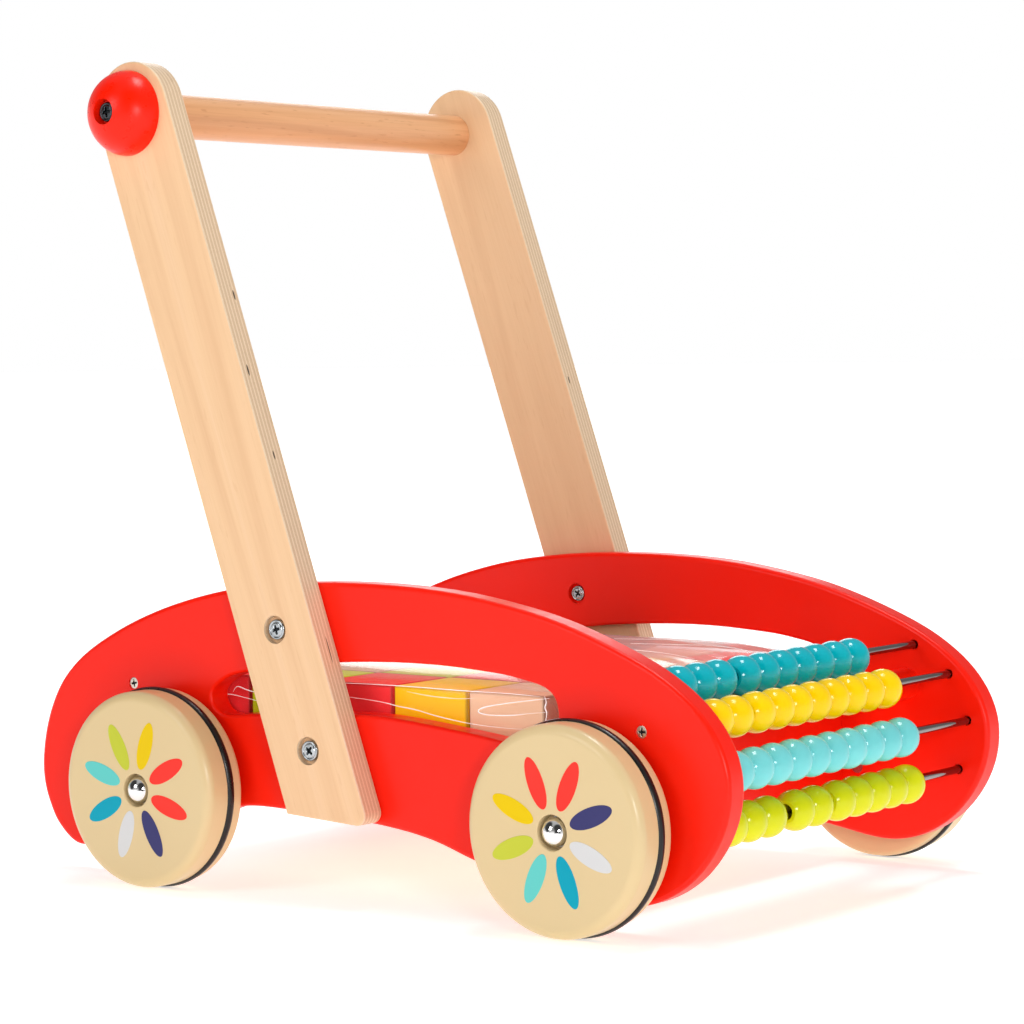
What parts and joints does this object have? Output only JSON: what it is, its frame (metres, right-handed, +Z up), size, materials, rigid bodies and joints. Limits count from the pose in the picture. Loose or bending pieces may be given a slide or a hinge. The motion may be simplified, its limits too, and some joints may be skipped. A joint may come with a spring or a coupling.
{
  "type": "baby walker",
  "caption": "Wooden push-along baby walker: sloping handle frame, four wheels on pins, a tray of wrapped cubes and a front bead frame.",
  "frame": {"origin": "on the floor, midway between the two side panels and midway between their front and rear ends", "axes": "+X forward, away from the child; +Y to the walker's left; +Z up"},
  "size_m": [0.481, 0.354, 0.4639],
  "materials": {
    "red_paint": "gloss paint over plywood",
    "cream_paint": "gloss paint",
    "birch_ply": "clear satin lacquer",
    "beech": "clear satin lacquer",
    "red_cap_paint": "gloss paint",
    "screw_steel": "zinc plated",
    "rod_chrome": "polished",
    "hub_chrome": "polished",
    "tyre_rubber": "matt",
    "spacer_plastic": "matt",
    "teal_paint": "gloss paint",
    "yellow_paint": "gloss paint",
    "aqua_paint": "gloss paint",
    "lime_paint": "gloss paint",
    "block_red": "satin paint",
    "block_yellow": "satin paint",
    "block_lime": "satin paint",
    "block_teal": "satin paint",
    "block_natural": "clear lacquer",
    "clear_film": "clear film"
  },
  "bodies": {
    "cart": {"right_side_panel": "red_paint", "left_side_panel": "red_paint", "tray_floor": "birch_ply", "front_board": "red_paint", "rear_board": "red_paint", "front_stretcher": "red_paint", "panel_screws": "screw_steel", "right_handle_post": "birch_ply", "left_handle_post": "birch_ply", "handle_bar": "beech", "right_handle_cap": "red_cap_paint", "left_handle_cap": "red_cap_paint", "cap_screws": "screw_steel", "post_bolts": "screw_steel", "sleeve_nuts": "screw_steel", "axle_pins": "screw_steel", "wheel_spacers": "spacer_plastic", "axle_washers": "screw_steel", "axle_caps": "hub_chrome", "bead_rod_1": "rod_chrome", "bead_rod_2": "rod_chrome", "bead_rod_3": "rod_chrome", "bead_rod_4": "rod_chrome"},
    "front_right_wheel_body": {"front_right_wheel": "cream_paint", "front_right_tyre": "tyre_rubber"},
    "front_left_wheel_body": {"front_left_wheel": "cream_paint", "front_left_tyre": "tyre_rubber"},
    "rear_right_wheel_body": {"rear_right_wheel": "cream_paint", "rear_right_tyre": "tyre_rubber"},
    "rear_left_wheel_body": {"rear_left_wheel": "cream_paint", "rear_left_tyre": "tyre_rubber"},
    "beads_teal_near_group": {"beads_teal_near": "teal_paint"},
    "beads_teal_far_group": {"beads_teal_far": "teal_paint"},
    "beads_yellow_near_group": {"beads_yellow_near": "yellow_paint"},
    "beads_yellow_far_group": {"beads_yellow_far": "yellow_paint"},
    "beads_aqua_group": {"beads_aqua": "aqua_paint"},
    "beads_lime_near_group": {"beads_lime_near": "lime_paint"},
    "beads_lime_mid_group": {"beads_lime_mid": "lime_paint"},
    "beads_lime_far_group": {"beads_lime_far": "lime_paint"},
    "block_pack": {"film_wrap": "clear_film", "blocks_red": "block_red", "blocks_yellow": "block_yellow", "blocks_lime": "block_lime", "blocks_teal": "block_teal", "blocks_natural": "block_natural"}
  },
  "joints": [
    {"name": "front_right_wheel_spin", "type": "hinge", "parent": "cart", "child": "front_right_wheel_body", "pos_m": [0.1545, -0.1597, 0.0566], "axis": [0, 1, 0], "continuous": true},
    {"name": "front_left_wheel_spin", "type": "hinge", "parent": "cart", "child": "front_left_wheel_body", "pos_m": [0.1545, 0.1597, 0.0566], "axis": [0, 1, 0], "continuous": true},
    {"name": "rear_right_wheel_spin", "type": "hinge", "parent": "cart", "child": "rear_right_wheel_body", "pos_m": [-0.134, -0.1597, 0.0566], "axis": [0, 1, 0], "continuous": true},
    {"name": "rear_left_wheel_spin", "type": "hinge", "parent": "cart", "child": "rear_left_wheel_body", "pos_m": [-0.134, 0.1597, 0.0566], "axis": [0, 1, 0], "continuous": true},
    {"name": "beads_teal_near_slide", "type": "slide", "parent": "cart", "child": "beads_teal_near_group", "axis": [0, 1, 0], "range_m": [-0.0007, 0.00245]},
    {"name": "beads_teal_far_slide", "type": "slide", "parent": "cart", "child": "beads_teal_far_group", "axis": [0, 1, 0], "range_m": [-0.00245, 0.0607]},
    {"name": "beads_yellow_near_slide", "type": "slide", "parent": "cart", "child": "beads_yellow_near_group", "axis": [0, 1, 0], "range_m": [-0.0002, 0.0012]},
    {"name": "beads_yellow_far_slide", "type": "slide", "parent": "cart", "child": "beads_yellow_far_group", "axis": [0, 1, 0], "range_m": [-0.0012, 0.0637]},
    {"name": "beads_aqua_slide", "type": "slide", "parent": "cart", "child": "beads_aqua_group", "axis": [0, 1, 0], "range_m": [-0.0007, 0.0658]},
    {"name": "beads_lime_near_slide", "type": "slide", "parent": "cart", "child": "beads_lime_near_group", "axis": [0, 1, 0], "range_m": [-0.0028, 0.00445]},
    {"name": "beads_lime_mid_slide", "type": "slide", "parent": "cart", "child": "beads_lime_mid_group", "axis": [0, 1, 0], "range_m": [-0.00445, 0.00225]},
    {"name": "beads_lime_far_slide", "type": "slide", "parent": "cart", "child": "beads_lime_far_group", "axis": [0, 1, 0], "range_m": [-0.00225, 0.0499]},
    {"name": "block_pack_lift", "type": "slide", "parent": "cart", "child": "block_pack", "axis": [0, 0, 1], "range_m": [0, 0.12]}
  ]
}
